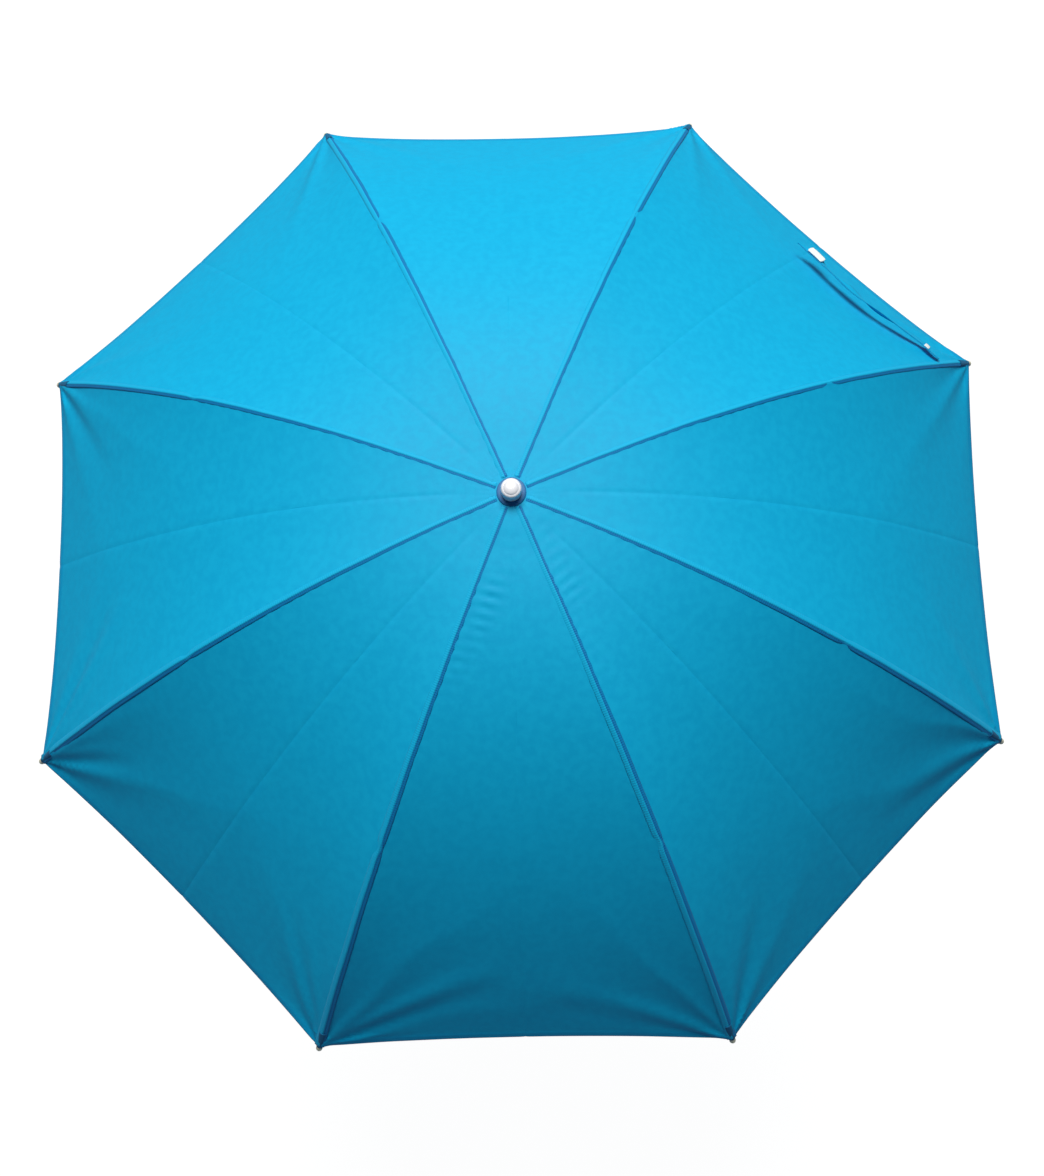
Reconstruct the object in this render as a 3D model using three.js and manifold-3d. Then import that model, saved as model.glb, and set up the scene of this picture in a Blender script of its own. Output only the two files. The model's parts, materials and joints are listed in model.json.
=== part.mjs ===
// Beach umbrella: eight-rib tilting umbrella on a two-part pole with a sand spike.
// Millimetres, +Z up. The origin is the point of the spike, on the pole's axis.
import * as THREE from 'three';
import { mergeVertices } from 'three/addons/utils/BufferGeometryUtils.js';
import Module from 'manifold-3d';

const wasm = await Module();
wasm.setup();

// ---- driving dimensions ----
const RIB_COUNT = 8;
const RIB_STEP = (2 * Math.PI) / RIB_COUNT;
const FIRST_RIB = RIB_STEP / 2;
const CLEAR = 0.3; // gap between pieces that touch

const CROWN_Z = 1955; // height of the rib pivots
const PIVOT_R = 15; // radius of the rib pivots, and of the stretcher pivots on the runner
const TIP_R = 790; // radius of the rib ends, open
const DOME_RISE = 380; // drop from the crown to the rib ends
const DOME_POWER = 2.18; // how late the ribs bend down
const ROD_R = 2; // rib and stretcher wire
const EYE_WIDTH = 3;
const WIRE_R = 0.75;

const BRACKET_AT = 0.43; // place of the stretcher bracket along the rib, 0 to 1
const BRACKET_DROP = 9; // rivet below the rib's centreline
const RIVET_R = 1.25;
const STRETCHER = 380; // pivot to pivot

const CLOTH = 1; // thickness of the canopy solid
const CLOTH_LIFT = 4.5; // canopy's inner face above the rib's centreline
const HUB_LIFT = 6.5; // the same where the canopy lies on the crown
const HUB_R = 20;
const HUB_BLEND_R = 90;
const CANOPY_HOLE_R = 11;
const HEM_DIP = 14; // how far the hem curves in between two tips
const CANOPY_ROWS = 14;

const TUBE_R = 9.5; // upper and middle pole
const TUBE_WALL = 0.8;
const SLEEVE_R = 11; // lower pole
const SLEEVE_WALL = 1;
const BORE_R = TUBE_R + CLEAR;
const SOCKET_R = 16;

const SPIKE_TOP = 110;
const LOWER_POLE_TOP = 760;
const CLAMP_Z = [735, 790];
const CLAMP_SCREW_Z = 776;
const MIDDLE_POLE_Z = [530, 1014];
const TILT_Z = 1045;
const TILT_LOW_Z = 974; // ends of the tilting joint's two barrels
const TILT_HIGH_Z = 1100;
const BARREL_GAP = 16; // barrels' inner ends from the pin
const EAR_R = 14;
const EAR_IN = 6.4;
const EAR_OUT = 13;
const TONGUE = 12;
const TILT_PIN_R = 3;
const TILT_BUTTON_Z = 1022;
const TILT_BUTTON_R = 3.5;
const UPPER_POLE_Z = [1068, CROWN_Z + 20];
const FERRULE_R = 14;
const NOTCH_R = 19; // crown and runner rims
const NOTCH_ROOT_R = 11.5;
const NOTCH_WIDTH = 4.6;

const SCREW_R = 3; // clamp screw
const BOSS_R = 7; // clamp boss, toward -Y
const BOSS_Y = [-24, -12];
const KNOB_BACK_Y = -26.5;
const SPIKE_COLLAR_R = 13;
const PLUG_TOP = 168; // spike's plug inside the lower pole
const FIN_REACH = 12;
const FIN_THICK = 2.4;
const EYE_R = 2.6; // eyes that run on the crown and runner wires
const WIRE_HOLE_R = 1.15;

// ---- solids ----
function weld(geometry) {
  const bare = geometry.index ? geometry.toNonIndexed() : geometry.clone();
  bare.deleteAttribute('normal');
  bare.deleteAttribute('uv');
  const welded = mergeVertices(bare, 1e-3);
  const corners = welded.index.array;
  const kept = [];
  for (let k = 0; k < corners.length; k += 3) {
    const [a, b, c] = [corners[k], corners[k + 1], corners[k + 2]];
    if (a !== b && b !== c && c !== a) kept.push(a, b, c);
  }
  return { points: Float32Array.from(welded.attributes.position.array), faces: Uint32Array.from(kept) };
}

function signedVolume({ points, faces }) {
  const corner = (n) => new THREE.Vector3().fromArray(points, 3 * n);
  let volume = 0;
  for (let k = 0; k < faces.length; k += 3) {
    volume += corner(faces[k]).dot(corner(faces[k + 1]).cross(corner(faces[k + 2]))) / 6;
  }
  return volume;
}

function solid(geometry) {
  const shape = weld(geometry);
  if (signedVolume(shape) < 0) shape.faces.reverse();
  const mesh = new wasm.Mesh({ numProp: 3, vertProperties: shape.points, triVerts: shape.faces });
  return new wasm.Manifold(mesh);
}

function union(...geometries) {
  return geometries.map(solid).reduce((whole, next) => whole.add(next));
}

function without(body, ...geometries) {
  return geometries.map(solid).reduce((rest, tool) => rest.subtract(tool), body);
}

function material(color, roughness, metalness) {
  return () => new THREE.MeshStandardMaterial({ color, roughness, metalness });
}

function piece(name, body, finish) {
  const made = body.getMesh();
  const geometry = new THREE.BufferGeometry();
  geometry.setAttribute('position', new THREE.BufferAttribute(made.vertProperties, 3));
  geometry.setIndex(new THREE.BufferAttribute(made.triVerts, 1));
  geometry.computeVertexNormals();
  const mesh = new THREE.Mesh(geometry, finish());
  mesh.name = name;
  return mesh;
}

// A ring or disc turned about Z from its [radius, height] outline.
function turned(outline, sides = 24) {
  const points = outline.map(([radius, height]) => new THREE.Vector2(radius, height));
  return new THREE.LatheGeometry(points, sides).rotateX(Math.PI / 2);
}

function ring(inner, outer, low, high, sides = 24) {
  return turned([[inner, low], [outer, low], [outer, high], [inner, high], [inner, low]], sides);
}

function disc(radius, low, high, sides = 24) {
  return turned([[0, low], [radius, low], [radius, high], [0, high]], sides);
}

function box(xs, ys, zs) {
  const size = [xs, ys, zs].map(([low, high]) => high - low);
  const middle = [xs, ys, zs].map(([low, high]) => (low + high) / 2);
  return new THREE.BoxGeometry(...size).translate(...middle);
}

// A cylinder whose axis is parallel to Y, at (x, z).
function crossRod(radius, low, high, x, z, sides = 10) {
  return disc(radius, low, high, sides).rotateX(-Math.PI / 2).translate(x, 0, z);
}

// A closed solid through matching rings of points, with flat ends.
function lofted(rings) {
  const sides = rings[0].length;
  const corners = [];
  const face = (...points) => points.forEach((point) => corners.push(point.x, point.y, point.z));
  for (let row = 1; row < rings.length; row += 1) {
    for (let k = 0; k < sides; k += 1) {
      const next = (k + 1) % sides;
      const [a, b] = [rings[row - 1][k], rings[row - 1][next]];
      const [c, d] = [rings[row][next], rings[row][k]];
      face(a, b, c);
      face(a, c, d);
    }
  }
  const [first, last] = [rings[0], rings[rings.length - 1]];
  const half = sides / 2;
  for (let k = 1; k < half; k += 1) {
    const [near, far] = [k - 1, sides - k];
    face(first[near], first[far], first[far - 1]);
    face(first[near], first[far - 1], first[k]);
    face(last[near], last[far - 1], last[far]);
    face(last[near], last[k], last[far - 1]);
  }
  const geometry = new THREE.BufferGeometry();
  geometry.setAttribute('position', new THREE.Float32BufferAttribute(corners, 3));
  return geometry;
}

// ---- the rib line, in the rib's own plane: X outward, Z up from the crown ----
const ribRun = TIP_R - PIVOT_R;
const ribX = (u) => PIVOT_R + ribRun * u;
const ribZ = (u) => -DOME_RISE * Math.max(u, 0) ** DOME_POWER;
const ribSlope = (u) => Math.atan((DOME_RISE * DOME_POWER * Math.max(u, 0) ** (DOME_POWER - 1)) / ribRun);

class RibLine extends THREE.Curve {
  constructor(start, end, lift = 0) {
    super();
    this.start = start;
    this.end = end;
    this.lift = lift;
  }

  getPoint(t, target = new THREE.Vector3()) {
    const u = this.start + (this.end - this.start) * t;
    const slope = ribSlope(u);
    return target.set(ribX(u) + this.lift * Math.sin(slope), 0, ribZ(u) + this.lift * Math.cos(slope));
  }
}

const bracketSlope = ribSlope(BRACKET_AT);
const rivetX = ribX(BRACKET_AT) - BRACKET_DROP * Math.sin(bracketSlope);
const rivetZ = ribZ(BRACKET_AT) - BRACKET_DROP * Math.cos(bracketSlope);
const stretcherDip = Math.acos((rivetX - PIVOT_R) / STRETCHER);
const RUNNER_Z = CROWN_Z + rivetZ - STRETCHER * Math.sin(stretcherDip);

// ---- finishes ----
const cloth = material(0x1fb2e2, 0.62, 0);
const steel = material(0xc9ccd0, 0.38, 0.9);
const whitePaint = material(0xeef0f2, 0.4, 0.1);
const whitePlastic = material(0xe9ebee, 0.45, 0);
const creamPlastic = material(0xe8dfc8, 0.5, 0);
const darkPlastic = material(0x0f5384, 0.5, 0);
const silver = material(0xdfe4ea, 0.28, 0.6);

// ---- the frame's moving parts, one set for each rib ----
function rod(curve, steps, sides = 8) {
  const section = new THREE.Shape();
  section.absarc(0, 0, ROD_R, 0, 2 * Math.PI);
  return new THREE.ExtrudeGeometry(section, {
    steps, extrudePath: curve, curveSegments: sides / 2, bevelEnabled: false,
  });
}

function rib() {
  const rootGap = 2.2;
  const line = rod(new RibLine(rootGap / ribRun, 1), 15);
  const eye = crossRod(EYE_R, -EYE_WIDTH / 2, EYE_WIDTH / 2, PIVOT_R, 0);
  return without(union(line, eye), crossRod(WIRE_HOLE_R, -EYE_WIDTH, EYE_WIDTH, PIVOT_R, 0, 8));
}

// Cap on the rib's end: a socket, then a rounded nose. Its axis is the rib's.
function ribTip() {
  const seatR = ROD_R + 0.4;
  const outline = [[0, CLEAR], [seatR, CLEAR], [seatR, -9], [3.4, -9], [3.6, -1], [4.6, 2], [4.8, 8],
    [3.4, 11.8], [0, 13]];
  return solid(turned(outline, 8));
}

// Channel clip on the rib with two ears and their rivet. X runs along the rib.
function ribBracket() {
  const halfLength = 8;
  const earIn = EYE_WIDTH / 2 + CLEAR;
  const earOut = earIn + 1.4;
  const boreR = ROD_R + 2 * CLEAR; // the rib bends a little inside the clip
  const sleeve = ring(boreR, 3.5, -halfLength, halfLength, 8).rotateY(Math.PI / 2);
  const ears = [1, -1].flatMap((side) => {
    const [low, high] = [side * earIn, side * earOut].sort((a, b) => a - b);
    return [
      box([-3.6, 3.6], [low, high], [-BRACKET_DROP, -1.6]),
      crossRod(3.6, low, high, 0, -BRACKET_DROP, 8),
    ];
  });
  const rivet = crossRod(RIVET_R, -earOut - 0.8, earOut + 0.8, 0, -BRACKET_DROP, 8);
  const rodSpace = disc(boreR, -halfLength - 1, halfLength + 1, 8).rotateY(Math.PI / 2);
  return without(union(sleeve, ...ears), rodSpace).add(solid(rivet));
}

// Strut with an eye at each end. X runs from the rivet to the runner.
function stretcher() {
  const eyeRivet = crossRod(3.2, -EYE_WIDTH / 2, EYE_WIDTH / 2, 0, 0);
  const eyeRunner = crossRod(EYE_R, -EYE_WIDTH / 2, EYE_WIDTH / 2, STRETCHER, 0);
  const neck = box([2, 9], [-EYE_WIDTH / 2, EYE_WIDTH / 2], [-1.7, 1.7]);
  const shaft = disc(ROD_R, 6, STRETCHER - 2.2, 8).rotateY(Math.PI / 2);
  const rivetHole = crossRod(RIVET_R + CLEAR, -EYE_WIDTH, EYE_WIDTH, 0, 0);
  const wireHole = crossRod(WIRE_HOLE_R, -EYE_WIDTH, EYE_WIDTH, STRETCHER, 0, 8);
  return without(union(eyeRivet, eyeRunner, neck, shaft), rivetHole, wireHole);
}

// ---- the canopy ----
// Place on the canopy: u from the pole to the hem, side 0 on the rib, +1 or -1 at the mid-gore line.
function canopyPoint(u, side, lift) {
  const pulledIn = u - Math.abs(side) * (HEM_DIP / ribRun) * Math.max(u, 0) ** 3;
  const slope = ribSlope(pulledIn);
  const onCrown = 1 - THREE.MathUtils.smoothstep(ribX(pulledIn), HUB_R, HUB_BLEND_R);
  const height = CLOTH_LIFT + lift + (HUB_LIFT - CLOTH_LIFT) * onCrown;
  const radius = ribX(pulledIn) + height * Math.sin(slope);
  const z = ribZ(pulledIn) + height * Math.cos(slope);
  const across = radius * Math.cos(RIB_STEP / 2);
  const angle = side * (RIB_STEP / 2);
  const reach = side === 0 ? radius : across;
  const point = new THREE.Vector3(reach * Math.cos(angle), reach * Math.sin(angle), z);
  const seamGap = new THREE.Vector3(side * Math.sin(angle), -side * Math.cos(angle), 0);
  return point.addScaledVector(seamGap, CLEAR / 2 + 0.05);
}

function canopyPanel() {
  const starts = [(CANOPY_HOLE_R - PIVOT_R) / ribRun, (HUB_R - PIVOT_R) / ribRun];
  const rows = [...starts];
  const end = 0.994;
  for (let k = 1; k <= CANOPY_ROWS; k += 1) {
    rows.push(starts[1] + ((end - starts[1]) * k) / CANOPY_ROWS);
  }
  const sides = [-1, 0, 1];
  return solid(lofted(rows.map((u) => [
    ...sides.map((side) => canopyPoint(u, side, 0)),
    ...sides.toReversed().map((side) => canopyPoint(u, side, CLOTH)),
  ])));
}

// ---- the tie strap: a band that lies on the canopy a little inside the hem ----
const STRAP_WIDTH = 16;
const STRAP_THICK = 1.2;
const STRAP_FROM = 0.012; // share of the way from the first rib to the next
const STRAP_TO = 0.525;
const STRAP_ROOT_U = 0.908;
const STRAP_DRIFT = 0.035; // how far the strap's free end lies up the canopy from its root
const STRAP_GAP = 5.5; // inner edge clear of the canopy
const STRAP_TILT = 0.2; // outer edge nearer the canopy than the inner one, in radians

function strapPlace(share) {
  const done = (share - STRAP_FROM) / (STRAP_TO - STRAP_FROM);
  const u = STRAP_ROOT_U - STRAP_DRIFT * done * (2 - done);
  const [near, far] = [0, 1].map((k) => canopyPoint(u, 0, CLOTH + STRAP_GAP)
    .applyAxisAngle(new THREE.Vector3(0, 0, 1), FIRST_RIB + k * RIB_STEP));
  return near.lerp(far, share);
}

// A frame on the strap's line: place, and the directions along, down its width and out of its upper face.
function strapFrame(share) {
  const along = strapPlace(share + 0.01).sub(strapPlace(share - 0.01)).normalize();
  const bearing = FIRST_RIB + RIB_STEP / 2;
  const slope = ribSlope(STRAP_ROOT_U) + STRAP_TILT;
  const down = new THREE.Vector3(Math.cos(bearing), Math.sin(bearing), 0)
    .multiplyScalar(Math.cos(slope)).setZ(-Math.sin(slope));
  down.addScaledVector(along, -down.dot(along)).normalize();
  const face = down.clone().cross(along);
  return { place: strapPlace(share), along, down, face };
}

function tieStrap() {
  const rows = 10;
  const rings = [];
  for (let k = 0; k <= rows; k += 1) {
    const share = STRAP_FROM + ((STRAP_TO - STRAP_FROM) * k) / rows;
    const { place, down, face } = strapFrame(share);
    const corner = (thick, wide) => place.clone()
      .addScaledVector(face, (thick * STRAP_THICK) / 2).addScaledVector(down, wide * STRAP_WIDTH);
    rings.push([corner(-1, 0), corner(1, 0), corner(1, 1), corner(-1, 1)]);
  }
  return solid(lofted(rings));
}

// A hook-and-loop pad sewn flat on the strap's upper face, toward its outer edge.
function strapPad(share, length, thickness) {
  const margin = 1;
  const width = STRAP_WIDTH / 2;
  const { place, along, down, face } = strapFrame(share);
  const centre = place.addScaledVector(down, STRAP_WIDTH - margin - width / 2)
    .addScaledVector(face, STRAP_THICK / 2 + CLEAR + thickness / 2);
  const turn = new THREE.Matrix4().makeBasis(along, down, along.clone().cross(down)).setPosition(centre);
  return solid(new THREE.BoxGeometry(length, width, thickness).applyMatrix4(turn));
}

// ---- hub ----
function notchSlots(low, high) {
  const slots = [];
  for (let k = 0; k < RIB_COUNT; k += 1) {
    const slot = box([NOTCH_ROOT_R, NOTCH_R + 4], [-NOTCH_WIDTH / 2, NOTCH_WIDTH / 2], [low, high]);
    slots.push(slot.rotateZ(FIRST_RIB + k * RIB_STEP));
  }
  return slots;
}

function crown() {
  const [low, high, wireRoom, slotTop] = [-9, 6, 1.1, 3.2];
  const body = solid(ring(BORE_R, NOTCH_R, low, high));
  const wireTrough = ring(PIVOT_R - wireRoom, PIVOT_R + wireRoom, -wireRoom, high + 3);
  return without(body, wireTrough, ...notchSlots(low - 3, slotTop));
}

function crownWire() {
  return solid(new THREE.TorusGeometry(PIVOT_R, WIRE_R, 6, 32));
}

function canopyWasher() {
  const [hole, rim, low, high] = [BORE_R + 0.4, 20, HUB_LIFT + CLOTH + 0.4, 9.9];
  return solid(turned([[hole, low], [rim - 0.5, low], [rim, low + 0.5], [rim - 1.6, high], [hole, high],
    [hole, low]]));
}

function ferrule() {
  const low = 10.3;
  const seat = 20.4;
  const domeBase = 27;
  const domeHeight = 6;
  const outline = [[0, seat], [BORE_R, seat], [BORE_R, low], [FERRULE_R, low], [FERRULE_R, domeBase]];
  for (let k = 1; k <= 4; k += 1) {
    const turn = (k * Math.PI) / 8;
    outline.push([FERRULE_R * Math.cos(turn) * (k < 4 ? 1 : 0), domeBase + domeHeight * Math.sin(turn)]);
  }
  return solid(turned(outline));
}

// ---- runner: notch ring, sleeve, and a raised keyway that passes over the catch ----
const SLEEVE_OUT_R = 13;
const SLEEVE_LENGTH = 60;
const RIM_HALF = 7;
const KEYWAY_R = 13.2;
const CATCH_OUT_R = 12.6;

function runner() {
  const [low, sleeveTop, boreR] = [-RIM_HALF - SLEEVE_LENGTH, -RIM_HALF + 1, BORE_R + 0.1];
  const [ridgeHalf, keyHalf] = [4.8, 2.2];
  const rim = ring(boreR, NOTCH_R, -RIM_HALF, RIM_HALF);
  const sleeve = ring(boreR, SLEEVE_OUT_R, low, sleeveTop);
  const keyRidge = box([-ridgeHalf, ridgeHalf], [-KEYWAY_R - 2.6, -10.5], [low, sleeveTop]);
  const keyway = box([-keyHalf, keyHalf], [-KEYWAY_R, -8], [low - 1, RIM_HALF + 1]);
  return without(union(rim, sleeve, keyRidge), keyway, ...notchSlots(-RIM_HALF - 1, RIM_HALF + 1));
}

const CATCH_TOP = RUNNER_Z - RIM_HALF - SLEEVE_LENGTH - 0.6;
const CATCH_HEIGHT = 18;

// Spring catch: a wedge through the pole's slot, on a flat leg inside the pole.
function runnerCatch() {
  const inner = -7;
  const width = 3;
  const side = new THREE.Shape();
  side.moveTo(-CATCH_OUT_R, 0);
  side.lineTo(-CATCH_OUT_R, -3);
  side.lineTo(-TUBE_R - 0.2, -CATCH_HEIGHT);
  side.lineTo(inner, -CATCH_HEIGHT);
  side.lineTo(inner, 0);
  side.closePath();
  const wedge = new THREE.ExtrudeGeometry(side, { depth: width, bevelEnabled: false });
  // The outline's X and Y become the pole's Y and Z.
  const stand = new THREE.Matrix4().makeBasis(
    new THREE.Vector3(0, 1, 0), new THREE.Vector3(0, 0, 1), new THREE.Vector3(1, 0, 0),
  ).setPosition(-width / 2, 0, 0);
  const leg = box([-width / 2, width / 2], [inner - 0.6, inner + 1], [-70, 0]);
  return union(wedge.applyMatrix4(stand), leg);
}

// ---- pole ----
function tube(radius, wall, [low, high], sides = 24) {
  return solid(ring(radius - wall, radius, low, high, sides));
}

function upperPole() {
  const slot = box([-1.9, 1.9], [-TUBE_R - 1, -TUBE_R + 2], [CATCH_TOP - CATCH_HEIGHT - 0.5, CATCH_TOP + 0.5]);
  return without(tube(TUBE_R, TUBE_WALL, UPPER_POLE_Z), slot);
}

// An ear of the tilting joint: a rounded plate across X, joined to its barrel.
function ear([low, high], toward, radius = EAR_R) {
  const round = disc(radius, low, high, 24).rotateY(Math.PI / 2).translate(0, 0, TILT_Z);
  const foot = box([low, high], [-radius, radius], toward > 0 ? [TILT_Z, TILT_Z + 18] : [TILT_Z - 18, TILT_Z]);
  return [round, foot];
}

function pinHole() {
  return disc(TILT_PIN_R + CLEAR, -20, 20, 16).rotateY(Math.PI / 2).translate(0, 0, TILT_Z);
}

function tiltLowerSocket() {
  const barrel = disc(SOCKET_R, TILT_LOW_Z, TILT_Z - BARREL_GAP);
  const body = union(barrel, ...ear([EAR_IN, EAR_OUT], -1), ...ear([-EAR_OUT, -EAR_IN], -1));
  const bore = disc(BORE_R, TILT_LOW_Z - 1, MIDDLE_POLE_Z[1] + CLEAR);
  const buttonHole = crossRod(TILT_BUTTON_R + CLEAR, -20, -5.6, 0, TILT_BUTTON_Z, 16);
  return without(body, bore, buttonHole, pinHole());
}

function tiltUpperSocket() {
  const barrel = disc(SOCKET_R, TILT_Z + BARREL_GAP, TILT_HIGH_Z);
  const tongue = [...ear([-TONGUE / 2, TONGUE / 2], 1)];
  const bore = disc(BORE_R, UPPER_POLE_Z[0] - CLEAR, TILT_HIGH_Z + 1);
  return without(union(barrel, ...tongue), bore, pinHole());
}

function tiltPin() {
  const head = EAR_OUT + CLEAR;
  const headR = 5.5;
  const end = head + 2;
  const outline = [[0, -end], [headR, -end], [headR, -head], [TILT_PIN_R, -head], [TILT_PIN_R, head],
    [headR, head], [headR, end], [0, end]];
  return solid(turned(outline, 16).rotateY(Math.PI / 2).translate(0, 0, TILT_Z));
}

function tiltButton() {
  const length = 9.6;
  const shoulder = length - 1.2;
  const outline = [[0, 0], [TILT_BUTTON_R, 0], [TILT_BUTTON_R, shoulder], [2.6, shoulder + 1], [0, length]];
  return solid(turned(outline, 16).rotateX(Math.PI / 2).translate(0, -9.4, TILT_BUTTON_Z));
}

function poleClamp() {
  const lowBore = disc(SLEEVE_R + CLEAR, CLAMP_Z[0] - 1, LOWER_POLE_TOP + CLEAR);
  const highBore = disc(BORE_R, LOWER_POLE_TOP, CLAMP_Z[1] + 1);
  const boss = crossRod(BOSS_R, ...BOSS_Y, 0, CLAMP_SCREW_Z, 20);
  const [low, high] = CLAMP_Z;
  const lipR = SOCKET_R - 1;
  const collar = turned([[0, low], [lipR, low], [SOCKET_R, low + 3], [SOCKET_R, high - 3], [lipR, high],
    [0, high]]);
  const screwHole = crossRod(SCREW_R + CLEAR, BOSS_Y[0] - 2, -5, 0, CLAMP_SCREW_Z, 16);
  return without(union(collar, boss), lowBore, highBore, screwHole);
}

// Screw with a five-lobed head. Its axis is Y, through the clamp's boss.
function clampKnob() {
  const lobes = 5;
  const lobeDepth = 1.8;
  const meanR = 15.5;
  const steps = 30;
  const outline = new THREE.Shape();
  for (let k = 0; k < steps; k += 1) {
    const turn = (2 * Math.PI * k) / steps;
    const radius = meanR + lobeDepth * Math.cos(lobes * turn);
    if (k === 0) outline.moveTo(radius, 0);
    else outline.lineTo(radius * Math.cos(turn), radius * Math.sin(turn));
  }
  outline.closePath();
  const head = new THREE.ExtrudeGeometry(outline, {
    depth: 8, bevelEnabled: true, bevelThickness: 2, bevelSize: 2, bevelSegments: 1, bevelOffset: -2,
  });
  const headOnBoss = head.rotateX(Math.PI / 2).translate(0, KNOB_BACK_Y, CLAMP_SCREW_Z);
  const screw = crossRod(SCREW_R, KNOB_BACK_Y - 0.5, -TUBE_R - 0.4, 0, CLAMP_SCREW_Z, 16);
  return union(headOnBoss, screw);
}

// Pointed sand spike with four fins, a collar, and a plug inside the lower pole.
function groundSpike() {
  const plugR = SLEEVE_R - SLEEVE_WALL - 0.4;
  const collarTop = SPIKE_TOP - CLEAR;
  const core = turned([[0, 0], [4, 14], [8, 90], [SPIKE_COLLAR_R, 96], [SPIKE_COLLAR_R, collarTop],
    [plugR, collarTop], [plugR, PLUG_TOP], [0, PLUG_TOP]], 20);
  const finLow = [3, 8]; // [reach, height] down each fin's edge
  const finShoulder = 60;
  const finTop = 98;
  const fins = [0, 1].map((k) => {
    const fin = new THREE.Shape();
    fin.moveTo(-finLow[0], finLow[1]);
    fin.lineTo(...finLow);
    fin.lineTo(FIN_REACH, finShoulder);
    fin.lineTo(FIN_REACH, finTop);
    fin.lineTo(-FIN_REACH, finTop);
    fin.lineTo(-FIN_REACH, finShoulder);
    fin.closePath();
    const plate = new THREE.ExtrudeGeometry(fin, { depth: FIN_THICK, bevelEnabled: false });
    return plate.translate(0, 0, -FIN_THICK / 2).rotateX(Math.PI / 2).rotateZ((k * Math.PI) / 2);
  });
  return union(core, ...fins);
}

// ---- assembly ----
const umbrella = new THREE.Group();

umbrella.add(
  piece('ground_spike', groundSpike(), whitePlastic),
  piece('lower_pole', tube(SLEEVE_R, SLEEVE_WALL, [SPIKE_TOP, LOWER_POLE_TOP]), whitePaint),
  piece('pole_clamp', poleClamp(), whitePlastic),
  piece('clamp_knob', clampKnob(), darkPlastic),
  piece('middle_pole', tube(TUBE_R, TUBE_WALL, MIDDLE_POLE_Z), whitePaint),
  piece('tilt_lower_socket', tiltLowerSocket(), whitePlastic),
  piece('tilt_pin', tiltPin(), steel),
  piece('tilt_button', tiltButton(), darkPlastic),
  piece('tilt_upper_socket', tiltUpperSocket(), whitePlastic),
  piece('upper_pole', upperPole(), whitePaint),
);

const hub = new THREE.Group();
hub.position.z = CROWN_Z;
hub.add(
  piece('crown', crown(), whitePlastic),
  piece('crown_wire', crownWire(), steel),
  piece('canopy_washer', canopyWasher(), darkPlastic),
  piece('ferrule', ferrule(), silver),
);
umbrella.add(hub);

const slider = piece('runner', runner(), whitePlastic);
slider.position.z = RUNNER_Z;
const springCatch = piece('runner_catch', runnerCatch(), steel);
springCatch.position.z = CATCH_TOP;
umbrella.add(slider, springCatch);

for (let k = 0; k < RIB_COUNT; k += 1) {
  const arm = new THREE.Group();
  arm.rotation.z = FIRST_RIB + k * RIB_STEP;
  const number = k + 1;
  const tip = piece(`rib_tip_${number}`, ribTip(), creamPlastic);
  tip.position.set(ribX(1), 0, ribZ(1));
  tip.rotation.y = Math.PI / 2 + ribSlope(1);
  const bracket = piece(`rib_bracket_${number}`, ribBracket(), steel);
  bracket.position.set(ribX(BRACKET_AT), 0, ribZ(BRACKET_AT));
  bracket.rotation.y = bracketSlope;
  const strut = piece(`stretcher_${number}`, stretcher(), whitePaint);
  strut.position.set(rivetX, 0, rivetZ);
  strut.rotation.y = Math.PI - stretcherDip;
  arm.add(
    piece(`rib_${number}`, rib(), whitePaint),
    tip,
    bracket,
    strut,
    piece(`canopy_panel_${number}`, canopyPanel(), cloth),
  );
  hub.add(arm);
}

const strapGroup = new THREE.Group();
strapGroup.add(
  piece('tie_strap', tieStrap(), cloth),
  piece('strap_loop_pad', strapPad(0.06, 14, 1.2), whitePlastic),
  piece('strap_hook_pad', strapPad(0.462, 30, 1.8), whitePlastic),
);
hub.add(strapGroup);

export default umbrella;
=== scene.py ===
"""Looks of a tilting beach umbrella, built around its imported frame.

Metres, +Z up, origin at the spike's point.
"""
import json
import math

import bmesh
import bpy
from mathutils import Matrix, Vector, noise

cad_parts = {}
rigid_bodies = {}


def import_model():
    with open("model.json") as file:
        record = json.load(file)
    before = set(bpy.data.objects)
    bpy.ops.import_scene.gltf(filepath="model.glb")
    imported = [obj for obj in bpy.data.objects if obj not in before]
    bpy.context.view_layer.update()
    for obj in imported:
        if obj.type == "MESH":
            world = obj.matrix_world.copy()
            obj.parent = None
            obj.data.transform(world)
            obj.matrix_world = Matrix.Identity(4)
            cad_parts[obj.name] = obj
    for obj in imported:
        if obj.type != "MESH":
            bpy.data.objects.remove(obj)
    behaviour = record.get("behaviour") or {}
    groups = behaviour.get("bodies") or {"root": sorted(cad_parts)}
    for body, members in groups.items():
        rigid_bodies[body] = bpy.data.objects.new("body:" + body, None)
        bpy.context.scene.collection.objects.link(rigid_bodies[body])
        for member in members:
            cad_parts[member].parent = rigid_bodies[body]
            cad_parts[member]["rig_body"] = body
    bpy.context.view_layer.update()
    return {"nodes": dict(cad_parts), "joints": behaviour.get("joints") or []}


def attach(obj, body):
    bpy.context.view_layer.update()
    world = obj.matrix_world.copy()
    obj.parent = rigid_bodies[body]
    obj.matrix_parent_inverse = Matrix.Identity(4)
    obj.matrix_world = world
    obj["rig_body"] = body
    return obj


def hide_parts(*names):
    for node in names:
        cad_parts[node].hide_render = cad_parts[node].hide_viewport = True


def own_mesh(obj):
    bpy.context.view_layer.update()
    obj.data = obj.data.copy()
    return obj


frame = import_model()

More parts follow.
